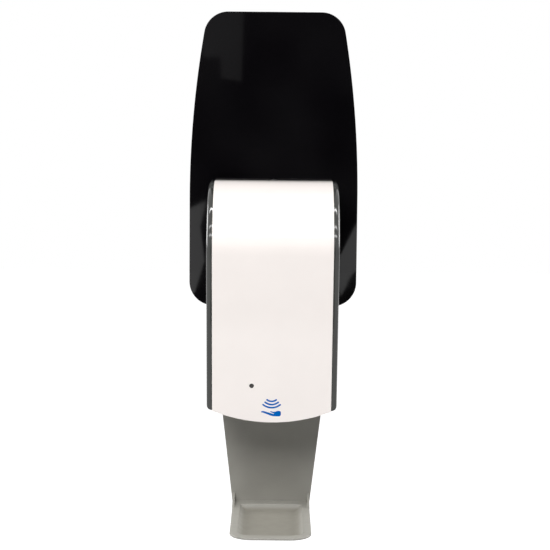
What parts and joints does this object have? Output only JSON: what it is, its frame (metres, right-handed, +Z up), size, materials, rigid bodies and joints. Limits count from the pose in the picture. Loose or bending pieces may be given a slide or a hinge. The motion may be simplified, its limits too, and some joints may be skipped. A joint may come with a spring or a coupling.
{
  "type": "automatic soap dispenser",
  "caption": "Wall-mounted touchless soap dispenser: tall backing board, hinged arched cover over a reservoir and gear pump, and a drip tray on an arm.",
  "frame": {"origin": "centre of the backing board's rear face, in the plane of the wall", "axes": "+X to the right seen from the front, +Y into the wall, +Z up"},
  "size_m": [0.1734, 0.1506, 0.518],
  "materials": {
    "board": "glossy black acrylic",
    "panel": "glossy white plastic",
    "side": "glossy dark grey plastic",
    "tray": "satin grey plastic",
    "chassis": "dark moulded plastic",
    "housing": "light grey moulded plastic",
    "steel": "zinc plated steel",
    "brass": "nickel brass strip",
    "tank": "frosted translucent plastic",
    "rubber": "moulded rubber",
    "silicone": "clear silicone",
    "circuit": "solder mask on glass fibre",
    "chip": "moulded epoxy",
    "gear": "acetal",
    "lens": "dark tinted plastic",
    "window": "infrared-clear dark plastic",
    "cell": "printed sleeve on a cell",
    "lead": "insulated wire"
  },
  "bodies": {
    "base": {"back_board": "board", "battery_box": "housing", "battery_cell_1": "cell", "battery_cell_2": "cell", "battery_cell_3": "cell", "battery_cell_4": "cell", "battery_contacts_lower": "brass", "battery_contacts_upper": "brass", "board_screw_1": "steel", "board_screw_2": "steel", "board_screw_3": "steel", "board_screw_4": "steel", "box_lid": "housing", "box_screw_1": "steel", "box_screw_2": "steel", "chassis": "chassis", "controller_chip": "chip", "drip_tray": "tray", "gear_axle": "steel", "hinge_pin_left": "steel", "hinge_pin_right": "steel", "infrared_emitter": "window", "infrared_receiver": "window", "inlet_hose": "silicone", "main_board": "circuit", "mechanism_box": "housing", "motor": "steel", "motor_lead": "lead", "nozzle": "chassis", "outlet_hose": "silicone", "pump_body": "housing", "pump_plate": "housing", "pump_screw_1": "steel", "pump_screw_2": "steel", "reservoir": "tank", "reservoir_screw_1": "steel", "reservoir_screw_2": "steel", "sensor_board": "circuit", "sensor_lead": "lead", "sensor_window": "window", "status_lamp": "lens", "switch_body": "chip", "tray_screw_1": "steel", "tray_screw_2": "steel"},
    "cover": {"cover_front": "panel", "cover_side_left": "side", "cover_side_right": "side", "cover_screw_1": "steel", "cover_screw_2": "steel", "cover_screw_3": "steel", "cover_screw_4": "steel", "status_lens": "lens"},
    "lock": {"lock_barrel": "steel", "lock_cam": "steel"},
    "cap": {"reservoir_cap": "side", "cap_seal": "rubber"},
    "drive_gear": {"drive_gear": "gear"},
    "driven_gear": {"driven_gear": "gear"},
    "power_slider": {"switch_slider": "panel"},
    "battery_lid": {"battery_lid": "chassis"}
  },
  "joints": [
    {"name": "cover_hinge", "type": "hinge", "parent": "base", "child": "cover", "pos_m": [0, -0.0115, -0.238], "axis": [1, 0, 0], "range_deg": [0, 65]},
    {"name": "lock_turn", "type": "hinge", "parent": "base", "child": "lock", "pos_m": [0, -0.013, -0.0201], "axis": [0, 0, -1], "range_deg": [0, 90]},
    {"name": "cap_turn", "type": "hinge", "parent": "base", "child": "cap", "pos_m": [0, -0.034, -0.045], "axis": [0, 0, 1], "range_deg": [0, 90]},
    {"name": "drive_gear_spin", "type": "hinge", "parent": "base", "child": "drive_gear", "pos_m": [-0.0055, -0.056, -0.203], "axis": [0, 1, 0], "continuous": true},
    {"name": "driven_gear_spin", "type": "hinge", "parent": "base", "child": "driven_gear", "pos_m": [0.0055, -0.056, -0.203], "axis": [0, 1, 0], "continuous": true},
    {"name": "power_slide", "type": "slide", "parent": "base", "child": "power_slider", "axis": [1, 0, 0], "range_m": [0, 0.003]},
    {"name": "battery_lid_slide", "type": "slide", "parent": "base", "child": "battery_lid", "axis": [0, 0, -1], "range_m": [0, 0.007]}
  ],
  "couplings": [
    {"joint": "driven_gear_spin", "follows": "drive_gear_spin", "ratio": -1}
  ]
}
